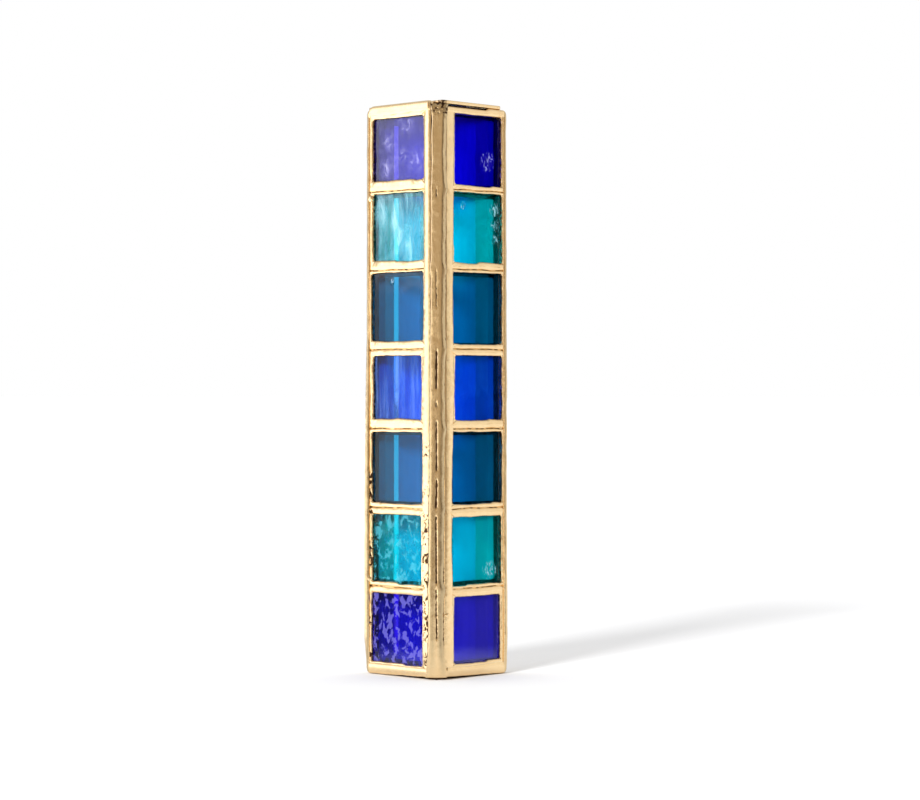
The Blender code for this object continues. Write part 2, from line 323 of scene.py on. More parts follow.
def satin_material():
    """The duller plated metal inside the channels."""
    nodes = Nodes(bpy.data.materials.new("gold_inside"))
    place = nodes.scaled(PER_MM)
    fine = nodes.noise(place, 5.0)
    shader = nodes.principled(
        Base_Color=nodes.mix(nodes.noise(place, 0.5), (0.86, 0.76, 0.55), (0.76, 0.68, 0.48)),
        Metallic=0.35,
        Roughness=nodes.span(fine, 0.3, 0.7, 0.42, 0.55),
        Normal=nodes.bump(fine, 0.3, 0.03 * MM),
    )
    return nodes.finished(shader)


def foil_material():
    """The adhesive side of the copper foil, seen through the edge of the glass."""
    nodes = Nodes(bpy.data.materials.new("copper_foil"))
    wrinkle = nodes.noise(nodes.scaled(PER_MM), 1.2, 4.0, distort=0.6)
    shader = nodes.principled(
        Base_Color=nodes.mix(nodes.span(wrinkle, 0.35, 0.65), (0.42, 0.20, 0.11), (0.66, 0.36, 0.20)),
        Metallic=0.85,
        Roughness=nodes.span(wrinkle, 0.3, 0.7, 0.38, 0.55),
        Normal=nodes.bump(wrinkle, 0.5, 0.05 * MM),
    )
    return nodes.finished(shader)


def plate_material():
    """Satin sheet metal with fine upright brushing. Drawn out above the case it stands clear of the
    glass, and there shade is painted on it, taking back the lamps' light so that it shows against a
    white room."""
    nodes = Nodes(bpy.data.materials.new("steel_plate"))
    brushed = nodes.noise(nodes.scaled((4000.0, 4000.0, 90.0)), 1.0)
    cloud = nodes.span(nodes.noise(nodes.scaled(PER_MM), 0.12), 0.3, 0.7)
    colour = nodes.mix(cloud, (0.66, 0.66, 0.66), (0.72, 0.72, 0.72))
    height = nodes.split(nodes.add("ShaderNodeNewGeometry").outputs["Position"])["Z"]
    shaded_above_case = nodes.span(height, CASE_HEIGHT, CASE_HEIGHT + 15 * MM)
    shader = nodes.principled(
        Base_Color=nodes.mix(shaded_above_case, colour, (0.27, 0.27, 0.28)),
        Metallic=0.2,
        Roughness=nodes.span(brushed, 0.3, 0.7, 0.36, 0.48),
        Normal=nodes.bump(brushed, 0.25, 0.02 * MM),
    )
    return nodes.finished(shader)


def parchment_material():
    """Matt cream skin with faint mottling."""
    nodes = Nodes(bpy.data.materials.new("parchment"))
    place = nodes.scaled(PER_MM)
    mottle = nodes.noise(place, 0.25, 5.0, distort=0.4)
    pores = nodes.noise(place, 6.0, 2.0, 0.5)
    shader = nodes.principled(
        Base_Color=nodes.mix(nodes.span(mottle, 0.35, 0.7), (0.80, 0.70, 0.50), (0.68, 0.55, 0.35)),
        Roughness=nodes.span(mottle, 0.3, 0.7, 0.62, 0.8),
        Normal=nodes.bump(pores, 0.3, 0.03 * MM),
    )
    return nodes.finished(shader)


# ---------------------------------------------------------------- glass


def lit_through(nodes, shader, tint):
    """Glass that lets lamps reach what is behind it, tinted as the pane tints it."""
    half = nodes.add("ShaderNodeGamma", {"Color": tint, "Gamma": 0.5}).outputs["Color"]
    clear = nodes.add("ShaderNodeBsdfTransparent", {"Color": half}).outputs[0]
    to_lamp = nodes.add("ShaderNodeLightPath").outputs["Is Shadow Ray"]
    mixed = nodes.add("ShaderNodeMixShader", {0: to_lamp, 1: shader, 2: clear})
    return nodes.finished(mixed.outputs[0])


def film_material():
    """Thin clear film, faintly creased."""
    nodes = Nodes(bpy.data.materials.new("clear_film"))
    clear = (0.97, 0.98, 0.99)
    crease = nodes.noise(nodes.scaled((1000.0, 1000.0, 250.0)), 0.5)
    shader = nodes.principled(
        Base_Color=clear,
        Transmission_Weight=1.0,
        IOR=1.2,
        Roughness=nodes.span(crease, 0.3, 0.7, 0.02, 0.08),
        Normal=nodes.bump(crease, 0.4, 0.1 * MM),
    )
    return lit_through(nodes, shader, clear)


GLASS_TINTS = {  # the clear glass, and its deeper streaks
    "glass_cobalt": ((0.03, 0.012, 0.95), (0.012, 0.0, 0.80)),
    "glass_turquoise": ((0.0, 0.80, 0.99), (0.0, 0.68, 0.93)),
    "glass_petrol": ((0.004, 0.41, 0.76), (0.0, 0.36, 0.70)),
    "glass_royal": ((0.03, 0.28, 0.99), (0.01, 0.20, 0.94)),
}

# A look says how its glass varies. dim darkens the tint. across and upright are the streaks
# for each metre, and the same for wisps of milky glass and for the ripples of the skin.
# The wisps cover the glass where their noise passes wisp_from, and haze covers all of it.
CLEAR = dict(
    dim=1.0, across=260.0, upright=60.0, distort=0.2,
    wisp=(0.25, 0.55, 0.85), wisp_across=400.0, wisp_upright=60.0,
    wisp_from=0.55, wisp_to=0.9, wisp_most=0.06, haze=0.0,
    skin=220.0, skin_upright=60.0, skin_strength=0.02,
)
STREAKS = dict(
    CLEAR, across=900.0, upright=70.0, distort=0.4,
    wisp=(0.40, 0.42, 0.66), wisp_across=700.0, wisp_from=0.42, wisp_to=0.72, wisp_most=0.34,
    skin=330.0, skin_upright=150.0, skin_strength=0.12,
)
WISPS = dict(
    STREAKS, dim=0.82, distort=0.7,
    wisp=(0.80, 0.88, 0.90), wisp_across=420.0, wisp_upright=110.0,
    wisp_from=0.40, wisp_to=0.76, wisp_most=0.55,
    skin=520.0, skin_upright=330.0, skin_strength=0.14,
)
CLOUDS = dict(
    STREAKS, dim=0.70, distort=0.3,
    wisp=(0.74, 0.73, 0.84), wisp_across=270.0, wisp_upright=240.0,
    wisp_from=0.44, wisp_to=0.80, wisp_most=0.22, haze=0.03, skin_strength=0.04,
)
PATCHES = dict(
    STREAKS, dim=0.9, distort=0.35,
    wisp=(0.24, 0.44, 0.50), wisp_across=520.0, wisp_upright=400.0,
    wisp_from=0.50, wisp_to=0.60, wisp_most=0.42, skin=700.0, skin_upright=500.0,
)
MOTTLE = dict(
    PATCHES, wisp=(0.25, 0.24, 0.50), wisp_across=620.0, wisp_upright=460.0,
    wisp_from=0.52, wisp_to=0.555, wisp_most=0.58,
)
RIPPLED = dict(CLEAR, skin=500.0, skin_upright=300.0, skin_strength=0.10)
DEEP = dict(RIPPLED, wisp_most=0.0)
HAZY = dict(CLEAR, wisp=(0.30, 0.30, 0.50), haze=0.21, wisp_most=0.10)
SMOKED = dict(CLEAR, dim=0.90)
DUSKY = dict(CLEAR, dim=0.85)
ROW_GLASS = (  # from the bottom: the kind of glass, then the left pane and the right
    ("glass_cobalt", MOTTLE, HAZY),
    ("glass_turquoise", PATCHES, RIPPLED),
    ("glass_petrol", SMOKED, DUSKY),
    ("glass_royal", STREAKS, CLEAR),
    ("glass_petrol", SMOKED, DUSKY),
    ("glass_turquoise", WISPS, RIPPLED),
    ("glass_cobalt", CLOUDS, DEEP),
)
PUFF_COVER = 0.66  # how milky a cloud is at its middle
GLINT_COVER = 0.8
MOST_COVER = 0.9


def glass_material(name, kind, look, wall, seed, swirls, clouds):
    """Rolled art glass: its own streaks and wisps, with a fire-polished rippled skin.
    swirls and clouds are lists of places and how far they reach. Round each swirl the skin ripples
    harder and light flecks are painted on as glints."""
    nodes = Nodes(bpy.data.materials.new(name))
    clear, deep = (tuple(level * look["dim"] for level in tint) for tint in GLASS_TINTS[kind])
    turn = math.radians(-45 if wall.is_left else 45)

    def streaks(across, upright, distort, more):
        """Noise drawn out along the height of the pane, as hand-rolled glass has it."""
        shift = (seed + more, (seed + more) * 0.37, (seed + more) * 1.71)
        place = nodes.scaled((across, across, upright), shift, turn)
        return nodes.noise(place, 1.0, 5.0, 0.62, distort)

    def nearness(place, reach):
        """1 at a place, fading to 0 at its reach."""
        feeds = {0: nodes.place(), 1: place}
        away = nodes.add("ShaderNodeVectorMath", feeds, operation="DISTANCE").outputs["Value"]
        return nodes.span(away, 0.0, reach, 1.0, 0.0)

    tint = nodes.span(streaks(look["across"], look["upright"], look["distort"], 0.0), 0.36, 0.66)
    tint = nodes.mix(tint, clear, deep)
    wisps = streaks(look["wisp_across"], look["wisp_upright"], look["distort"], 4.0)
    cover = nodes.span(wisps, look["wisp_from"], look["wisp_to"], 0.0, look["wisp_most"])
    for place, reach in clouds:
        puff = nodes.span(streaks(560.0, 520.0, 0.8, 6.0), 0.34, 0.70)
        cover = nodes.plus(cover, nodes.times(puff, nearness(place, reach), PUFF_COVER))
    cover = nodes.plus(cover, look["haze"])
    colour = nodes.mix(cover, tint, look["wisp"])
    skin = streaks(look["skin"], look["skin_upright"], 0.3, 9.0)
    skin = nodes.times(skin, look["skin_strength"])
    # painted glints: light flecks round each swirl stand for highlights on the glass ripples
    glint = tuple(0.5 * level + 0.42 for level in clear)
    for place, reach in swirls:
        near = nearness(place, reach)
        skin = nodes.plus(skin, nodes.times(streaks(1500.0, 700.0, 1.2, 2.0), near))
        grain = nodes.plus(streaks(2300.0, 900.0, 1.0, 3.0), nodes.times(near, 0.10))
        painted_glints = nodes.times(nodes.span(grain, 0.57, 0.68), nodes.span(near, 0.02, 0.3))
        colour = nodes.mix(painted_glints, colour, glint)
        cover = nodes.plus(cover, nodes.times(painted_glints, GLINT_COVER))
        cover = nodes.maths("MINIMUM", cover, MOST_COVER)
    shader = nodes.principled(
        Base_Color=colour,
        Transmission_Weight=nodes.minus(1.0, cover),
        IOR=1.5,
        Roughness=0.0,
        Normal=nodes.bump(skin, 1.0, 0.3 * MM),
    )
    return lit_through(nodes, shader, colour)


GOLD = gold_material()
SATIN = satin_material()
COPPER = foil_material()

PANE_STEPS = 44
SWIRLS = (  # wall and row, then s, z and reach in millimetres
    ("right", 6, 12.4, 112.6, 3.2),
    ("right", 1, 13.2, 23.0, 3.0),
    ("right", 5, 14.9, 102.0, 2.2),
    ("right", 5, 15.1, 98.6, 2.0),
    ("right", 5, 15.2, 95.4, 1.8),
    ("right", 5, 5.0, 102.6, 1.2),
    ("left", 4, 10.7, 86.2, 0.9),
)
CLOUD_SPOTS = (  # s, z and reach in millimetres, on the cloudy pane
    (11.2, 117.2, 3.6),
    (2.9, 112.4, 3.8),
    (12.3, 110.8, 3.2),
    (6.2, 120.6, 3.2),
    (7.4, 113.6, 2.6),
)


def make_pane(wall, row):
    """A pane with a gently uneven skin on both faces and ground edges."""
    kind, left_look, right_look = ROW_GLASS[row]
    look = left_look if wall.is_left else right_look
    seed = row * 2.3 + (0.0 if wall.is_left else 11.0)
    low_z, high_z = wall.rows[row]
    skin = (0.003 + 0.05 * look["skin_strength"]) * MM
    s, z = np.meshgrid(
        np.linspace(*wall.glass_s, PANE_STEPS),
        np.linspace(low_z + 0.2 * MM, high_z - 0.2 * MM, PANE_STEPS),
        indexing="ij",
    )
    flat = np.stack([s.ravel(), z.ravel()], axis=1)
    outer = GLASS_OUT - skin + skin * ripples(2.2, seed, flat).reshape(s.shape)
    inner = GLASS_IN + skin - skin * ripples(3.0, seed + 5, flat).reshape(s.shape)
    points = np.concatenate([wall.place(s, t, z).reshape(-1, 3) for t in (outer, inner)])

    count = s.size
    index = np.arange(count).reshape(s.shape)
    faces = []
    for i in range(PANE_STEPS - 1):
        for j in range(PANE_STEPS - 1):
            face = (index[i, j], index[i + 1, j], index[i + 1, j + 1], index[i, j + 1])
            faces += [face, [v + count for v in reversed(face)]]
    rim = np.concatenate([index[:-1, 0], index[-1, :-1], index[:0:-1, -1], index[0, :0:-1]])
    ahead = np.roll(rim, -1)
    faces += zip(ahead, rim, rim + count, ahead + count)

    swirls = [spot[2:] for spot in SWIRLS if spot[:2] == (wall.side, row)]
    clouds = CLOUD_SPOTS if look is CLOUDS else ()
    swirls, clouds = (
        [(tuple(wall.place(s * MM, GLASS_OUT, z * MM)), reach * MM) for s, z, reach in spots]
        for spots in (swirls, clouds)
    )
    name = f"pane_{wall.side}_{row + 1}"
    material = glass_material(name, kind, look, wall, seed, swirls, clouds)
    mesh = closed_mesh(name, points, faces)
    add_piece(name, mesh, f"glass_{wall.side}_{row + 1}", [material], smooth_angle=50.0)


# ---------------------------------------------------------------- soldered foil frames

FOIL_LAPS = {  # millimetres of foil over each pane: front, rear, low, high
    "left": (
        (0.8, 1.0, 0.5, 1.3),
        (1.2, 1.3, 0.8, 1.3),
        (0.9, 1.2, 1.0, 0.6),
        (1.2, 1.6, 1.9, 1.2),
        (0.6, 1.1, 1.8, 0.4),
        (0.5, 1.5, 1.9, 0.4),
        (0.5, 1.5, 2.1, 1.2),
    ),
    "right": (
        (1.9, 1.4, 1.0, 1.7),
        (1.3, 1.1, 0.5, 1.7),
        (1.4, 0.9, 0.9, 0.5),
        (2.2, 0.9, 1.8, 1.2),
        (1.6, 0.9, 1.1, 0.5),
        (1.8, 0.9, 1.4, 0.4),
        (2.1, 1.1, 1.0, 0.6),
    ),
}
INNER_LAP = 1.2 * MM
INNER_REAR_LAP = {"left": 0.8 * MM, "right": 1.1 * MM}
FLANGE_REACH = {"left": 1.9 * MM, "right": 1.3 * MM}  # the front flange, past the walls' corner
CHANNEL_LAP = 0.45 * MM  # how much of the rear edge the channel's bead covers
RIDGE = 0.52 * MM
FRONT_RIDGE_SHARE = 0.6
INNER_RIDGE = 0.22 * MM
PIT_DEPTH = 0.16 * MM
SIDE_STEPS = 70
RIDGE_STEPS = 15
PITTED_ROWS = 3
BURNS = {  # middle and half length in millimetres up the left wall, and how strongly pitted
    "front": (
        (4.2, 1.3, 0.9),
        (13.2, 5.4, 1.0),
        (21.6, 1.9, 1.0),
        (26.3, 1.0, 0.9),
        (30.0, 1.5, 0.4),
        (33.7, 1.8, 1.0),
        (41.0, 3.0, 0.15),
        (49.5, 1.6, 0.3),
    ),
    "rear": (
        (3.6, 0.8, 0.9),
        (11.8, 1.2, 0.8),
        (27.0, 3.2, 0.9),
        (36.0, 1.0, 0.6),
        (41.5, 2.8, 1.0),
    ),
}


def outline(low_s, high_s, low_z, high_z, radius=0.0):
    """Points round a rectangle with rounded corners, in wall coordinates s and z."""
    corners = [(low_s, low_z), (high_s, low_z), (high_s, high_z), (low_s, high_z)]
    inward = [(0.0, 1.0), (-1.0, 0.0), (0.0, -1.0), (1.0, 0.0)]
    lead = radius * (1 - SIN_45)
    points = []
    for side in range(4):
        start, end = np.array(corners[side]), np.array(corners[(side + 1) % 4])
        length = np.linalg.norm(end - start)
        direction = (end - start) / length
        for step in range(SIDE_STEPS):
            share = step / SIDE_STEPS
            share -= 0.10 * math.sin(2 * math.pi * share)  # points crowd near the corners
            near = lead + min(share, 1 - share) * 2 * (length / 2 - lead)
            dip = radius - math.sqrt(radius**2 - (radius - near) ** 2) if near < radius else 0.0
            at = near if share <= 0.5 else length - near
            points.append(start + direction * at + np.array(inward[side]) * dip)
    return np.array(points)


def shaken(points, amount, size, seed):
    """An outline with the small wander of a foil edge trimmed and burnished by hand."""
    moved = points.copy()
    for axis, (broad, close) in enumerate(((0.0, 6.7), (3.1, 8.9))):
        moved[:, axis] += amount * ripples(size, seed + broad, points)
        moved[:, axis] += 0.35 * amount * ripples(size / 4, seed + close, points)
    return moved


def burn(place, s, z):
    """How strongly the flux has pitted and blackened the solder here, from 0 to 1."""
    share = 0.0
    for middle, half, most in BURNS[place]:
        share = max(share, most * clamp(1.6 - 1.6 * abs(z / MM - middle) / (half + 0.6)))
    if share == 0.0:
        return 0.0
    grain = ripple(0.62, 61.0, s, z) + 0.5 * ripple(1.7, 62.0, z, s)
    return clamp((grain + 0.30 * share - 0.22) / 0.10) * min(1.0, 2.0 * share)


def foil_opening(wall, row, seed):
    """The edge of the foil on a pane's face, with a small step where the foil overlaps."""
    laps = [lap * MM for lap in FOIL_LAPS[wall.side][row]]
    front, rear = laps[0], wall.length - laps[1]
    low, high = wall.rows[row][0] + laps[2], wall.rows[row][1] - laps[3]
    opening = shaken(outline(front, rear, low, high, 0.45 * MM), 0.15 * MM, 3.4, seed)
    overlap = 0.5 + 0.9 * ripple(1000.0, seed, seed * 1.37 + 0.41, seed * 0.73)
    lower = opening[:SIDE_STEPS]
    step = np.tanh((lower[:, 0] - front - (rear - front) * overlap) / (0.3 * MM))
    lower[:, 1] += 0.16 * MM * step * np.sin(math.pi * np.arange(SIDE_STEPS) / SIDE_STEPS)
    return opening


def make_frame(wall, row):
    """The foil and solder round one pane: a bright outer ridge, a low inner one, and the
    copper side that lies against the glass."""
    side = wall.side
    seed = 20.0 + row * 3.7 + (0.0 if wall.is_left else 50.0)
    low_z, high_z = wall.rows[row]
    half_gap = (ROW_PITCH - PANE_HEIGHT) / 2 - 0.01 * MM
    cell_z = low_z - half_gap, high_z + half_gap
    front_lap, rear_lap = (lap * MM for lap in FOIL_LAPS[side][row][:2])
    opening = foil_opening(wall, row, seed)
    inner_opening = outline(
        INNER_LAP, wall.length - INNER_REAR_LAP[side], low_z + INNER_LAP, high_z - INNER_LAP, 0.5 * MM
    )
    inner_opening = shaken(inner_opening, 0.10 * MM, 3.0, seed + 2)
    cell = outline(-FLANGE_REACH[side], wall.length - CHANNEL_LAP, *cell_z)
    cell[:, 1] = shaken(cell, 0.15 * MM, 4.0, 3.3)[:, 1]
    edge = outline(0.03 * MM, wall.length - 0.03 * MM, *cell_z, 0.02 * MM)
    inner_cell = outline(0.4 * MM, wall.length - 0.05 * MM, *cell_z, 0.02 * MM)
    rim = outline(
        wall.glass_s[0] - 0.03 * MM,
        wall.glass_s[1] + 0.03 * MM,
        low_z + 0.17 * MM,
        high_z - 0.17 * MM,
        0.02 * MM,
    )
    floor = GLASS_OUT + 0.03 * MM
    lining = GLASS_IN - 0.03 * MM
    foil_step = FOIL_T - floor + 0.02 * MM
    heaps = ripples(2.6, seed + 1.7, opening)
    specks = ripples(0.7, seed + 4.7, opening)
    height = RIDGE * (1.0 + 0.28 * heaps)
    height[opening[:, 0] < front_lap + 0.5 * MM] *= FRONT_RIDGE_SHARE

    rings = []  # each ring's outline, t and darkening (dirt, and painted shade at the glass edge), from the opening round to the glass
    for a in 0.5 - 0.5 * np.cos(math.pi * np.arange(RIDGE_STEPS + 1) / RIDGE_STEPS):
        swell = math.sqrt(max(0.0, 1 - abs(2 * a - 1) ** 2.2))
        t = floor + foil_step * min(1.0, a / 0.03) + swell * (height + 0.035 * MM * specks)
        ring = opening + a * (cell - opening)
        # painted shade: darkest at the glass edge, for the shadow in the gap under the foil; also darker
        # at the outer edge where frames join
        darkening = np.full(len(ring), max(0.0, 1 - a / 0.09, (a - 0.90) / 0.10))
        if wall.is_left and row < PITTED_ROWS and 0.05 < a < 0.95:
            rear = ring[:, 0] > wall.length - rear_lap - 0.2 * MM
            pits = np.array([burn("rear", *point) if here else 0.0 for point, here in zip(ring, rear)])
            t -= PIT_DEPTH * pits
            darkening = np.maximum(darkening, 1.3 * pits)
        rings.append((ring, t, darkening))
    rings += [
        (edge, FOIL_T + 0.01 * MM, 0.9),
        (edge, -0.01 * MM, 0.9),
        (inner_cell, -0.02 * MM, 0.5),
    ]
    for a in (0.25, 0.5, 0.75, 0.97):
        swell = math.sqrt(max(0.0, 1 - (2 * a - 1) ** 2))
        t = -0.02 * MM - swell * INNER_RIDGE * (1.0 + 0.3 * heaps)
        rings.append((inner_cell + a * (inner_opening - inner_cell), t, 0.1))
    gold_strips = len(rings) - 1
    rings += [(inner_opening, lining, 0.0), (rim, lining, 0.0), (rim, floor, 0.0)]

    grid = np.stack([wall.place(ring[:, 0], t, ring[:, 1]) for ring, t, _ in rings], axis=1)
    name = f"frame_{side}_{row + 1}"
    mesh = loft(name, [grid], ring=True)
    dirt = [np.broadcast_to(darkening, len(opening)) for *_, darkening in rings]
    store(mesh, "dirt", np.stack(dirt, axis=1))
    strips = [0] * gold_strips + [1] * (len(rings) - gold_strips)
    mesh.polygons.foreach_set("material_index", np.array(strips * len(opening), np.int32))
    add_piece(name, mesh, f"foil_{side}_{row + 1}", [GOLD, COPPER])


# ---------------------------------------------------------------- solder runs

DROPS = (  # wall, then s, z and radius in millimetres, and how dirty
    ("left", 16.6, 104.6, 0.80, 0.3),
    ("left", 17.3, 21.0, 0.95, 0.45),
    ("left", 0.3, 70.6, 0.45, 0.55),
    ("left", 15.4, 54.5, 0.40, 0.4),
    ("right", -0.6, 14.0, 0.60, 0.0),
    ("right", 0.9, 36.6, 0.30, 0.7),
    ("right", 1.0, 2.9, 0.30, 0.7),
    ("right", 16.2, 54.2, 0.40, 0.5),
)
DROP_STEPS = 12
RUN_STEPS = 14
RAIL_STEPS = 30
RAIL_SQUARE = 0.72
FOOT_RISE = 0.55 * MM  # how far the rim stands clear of the floor at the front corner
LID_GAP_END = 12.5 * MM  # s where the gap under the lid on the right closes


def ring_shape(steps, square=1.0):
    """How far out and up the points of a ring lie, from -1 to 1. square under 1 flattens it."""
    turn = np.linspace(0, 2 * math.pi, steps, endpoint=False) + math.pi / steps
    return (np.sign(part) * np.abs(part) ** square for part in (np.sin(turn), np.cos(turn)))


def tube(wall, path, high, wide, steps=RUN_STEPS, square=1.0):
    """Rings of a lumpy run of solder that follows a path of (s, t, z) along the wall."""
    out, up = ring_shape(steps, square)
    rings = [wall.place(s, t + h * out, z + w * up) for (s, t, z), h, w in zip(path, high, wide)]
    return np.stack(rings)


def drop(wall, s, t, z, radius):
    """A ball of solder that didn't flow out flat."""
    turns = math.pi * (np.arange(DROP_STEPS) + 0.5) / DROP_STEPS
    lumps = [1 + 0.25 * ripple(0.5, 17.0, s + k * 0.1 * MM, z) for k in range(DROP_STEPS)]
    radii = radius * np.sin(turns) * lumps
    path = [(s - radius * math.cos(turn), t, z) for turn in turns]
    return tube(wall, path, radii * 0.8, radii)


def level_run(wall, row, stations, seed):
    """The solder between two rows of frames, with its dirt."""
    wander = [0.12 * MM * ripple(2.5, seed, s) for s in stations]
    lumps = np.array([ripple(1.6, seed + 2, s) for s in stations])
    path = [(s, FOIL_T, wall.joint(row) + shift) for s, shift in zip(stations, wander)]
    grid = tube(wall, path, (0.17 + 0.14 * lumps) * MM, (0.17 + 0.08 * lumps) * MM)
    return grid, (0.75 - 0.8 * lumps)[:, None]


def corner_run(wall, seed):
    """The upright run beside the front corner, over the ends of the level ones, with its dirt and with
    painted shade where it meets the glass.
    """
    middles = [sum(pair) / 2 for pair in wall.rows]
    laps = [lap[0] * MM for lap in FOIL_LAPS[wall.side]]
    start = -FLANGE_REACH[wall.side] + 0.02 * MM
    grid, dirt = [], []
    for z in np.linspace(wall.rows[0][0] - 0.2 * MM, wall.rows[-1][1] - 0.3 * MM, 520):
        front = np.interp(z, middles, laps) - 0.10 * MM
        front += (0.10 * ripple(2.6, seed, z) + 0.04 * ripple(0.8, seed, z)) * MM
        height = RIDGE * (1.18 + 0.14 * ripple(4.0, seed + 1, z))
        across, out, darkening = [], [], []
        for a in np.linspace(0.0, 1.0, 30):
            s = start + (front - start) * a
            swell = math.sqrt(max(0.0, 1 - abs(2 * a - 1) ** 2.2))
            lump = 0.03 * MM * ripple(1.1, seed + 2, s, z)
            pit = burn("front", s, z) if wall.is_left else 0.0
            pit_depth = 1.5 * PIT_DEPTH * pit * min(1.0, 2 * swell)
            across.append(s)
            out.append(FOIL_T - 0.06 * MM + swell * (height + lump) - pit_depth)
            # dark pits, and painted shade along the edge that meets the glass
            darkening.append(max(1.3 * pit, 0.8 * (a - 0.95) / 0.05, 0.0))
        across += [front, start]
        out += [GLASS_OUT + 0.01 * MM] * 2
        darkening += [0.8] * 2
        grid.append(wall.place(np.array(across), np.array(out), z))
        dirt.append(darkening)
    return np.stack(grid), np.array(dirt)


def rail(wall, stations, at_head, seed):
    """The heavy run along the head or foot of a wall, with the lid's shadow painted along the top of the
    right head run. The left one stands up in front of the lid, the right one stops short of it, and both
    rise clear of the floor."""
    start, end = stations[0], stations[-1]
    if at_head:
        low = wall.rows[-1][1] - 0.75 * MM
        high = CASE_HEIGHT - 0.02 * MM if wall.is_left else RAIL_HIGH + 0.10 * MM
    else:
        low = 0.05 * MM
        high = wall.rows[0][0] + (0.35 if wall.is_left else 0.70) * MM
    up = list(ring_shape(RAIL_STEPS, RAIL_SQUARE))[1]
    path, out, wide, dirt = [], [], [], []
    for s in stations:
        lower = max(0.03 * MM, low + 0.14 * MM * ripple(3.0, seed + 1.3, s))
        upper = high
        gap = 0.0
        if not at_head:
            lower += FOOT_RISE * (end - s) / (end - start)
        elif wall.is_left:
            past = 1 - min(1.0, min(end - s, s - start) / (1.1 * MM))
            upper -= 0.85 * MM * (1 - math.sqrt(1 - past**2))
        else:
            gap = clamp((LID_GAP_END - s) / MM)
            upper -= 0.42 * MM * gap
        taper = min(1.0, (s - start) / MM + 0.45)
        path.append((s, FOIL_T - 0.35 * MM, (lower + upper) / 2))
        out.append((0.98 + 0.05 * ripple(5.0, seed, s)) * MM * taper)
        wide.append((upper - lower) / 2)
        # painted shadow of the lid: the top of the right head run is darkened over the gap under the lid
        dirt.append(1.2 * gap * np.maximum(0.0, up - 0.55) / 0.45)
    return tube(wall, path, out, wide, RAIL_STEPS, RAIL_SQUARE), np.array(dirt)


def make_runs(wall):
    """The solder between the frames of one wall, and the heavier runs at its head and foot."""
    start = -FLANGE_REACH[wall.side] + 0.1 * MM
    stations = np.linspace(start, wall.length - CHANNEL_LAP + 0.1 * MM, 90)
    hand = 0.0 if wall.is_left else 40.0
    runs = [level_run(wall, row, stations, 70.0 + row * 5.1 + hand) for row in range(ROWS - 1)]
    runs.append(corner_run(wall, 15.0 + hand))
    runs.append(rail(wall, stations, True, 5.0 + hand))
    runs.append(rail(wall, stations, False, 9.0 + hand))
    if not wall.is_left:  # a dark tube in the gap under the lid, a painted shadow
        covered = [s for s in stations if s < LID_GAP_END + 0.3 * MM]
        path = [(s, FOIL_T - 1.0 * MM, RAIL_HIGH - 0.30 * MM) for s in covered]
        size = [0.34 * MM] * len(path)
        runs.append((tube(wall, path, size, size), np.array([[1.4]])))
    for side, s, z, radius, darkening in DROPS:
        if side == wall.side:
            ball = drop(wall, s * MM, FOIL_T + 0.25 * MM, z * MM, radius * MM)
            runs.append((ball, np.array([[darkening]])))
    name = f"solder_runs_{wall.side}"
    mesh = loft(name, [grid for grid, _ in runs])
    dirt = [np.broadcast_to(darkening, grid.shape[:2]).ravel() for grid, darkening in runs]
    store(mesh, "dirt", np.concatenate(dirt))
    add_piece(name, mesh, f"solder_grid_{wall.side}", [GOLD])


# ---------------------------------------------------------------- corner bead

BEAD_NOSE_Y = -4.15 * MM  # measured from the walls' corner, as the next is
BEAD_EDGE_Y = -3.62 * MM
BEAD_BACK = 2.3 * MM
CREASES = (  # lower and upper ends in millimetres, and depth as a share of the deepest
    (8.6, 20.0, 0.75),
    (20.6, 35.6, 0.85),
    (36.8, 43.4, 1.0),
    (44.8, 56.0, 0.85),
    (58.6, 60.2, 0.7),
    (62.5, 71.2, 1.0),
    (80.0, 88.5, 0.45),
    (103.6, 106.2, 0.5),
)
CREASE_HALF = 0.20 * MM
CREASE_DEPTH = 0.20 * MM
BAND_TOP = 58 * MM  # below it the bead has painted brown reflection bands


def peak(value, middle, half):
    """A smooth bump of height 1."""
    return math.exp(-(((value - middle) / half) ** 2))


def crease_strength(z):
    """How deep the broken crease is at a height, from 0 to about 1."""
    crack = 0.0
    for low, high, share in CREASES:
        crack = max(crack, share * clamp(min(z - low * MM, high * MM - z) / (0.5 * MM)))
    return crack * (1 + 0.25 * ripple(1.2, 5.6, z))


def painted_bead_shading(a, z, foot, head):
    """How much painted shade and painted reflection darken the bead, at a share across it from -1 to 1:
    darker at its edges and near its head, with brown bands low down and a painted highlight strip
    between them.
    """
    sides = 0.9 * max(0.0, -a - 0.80) / 0.20 + 0.55 * max(0.0, a - 0.35) / 0.65
    bands = 2.4 * peak(a, -0.45, 0.24) + 3.2 * peak(a, 0.62, 0.26) - 0.9 * peak(a, 0.12, 0.12)
    low = 0.15 * clamp((BAND_TOP - z) / (25 * MM)) * bands
    return clamp((0.14 + low + sides) * (1 - foot) + 0.3 * head)


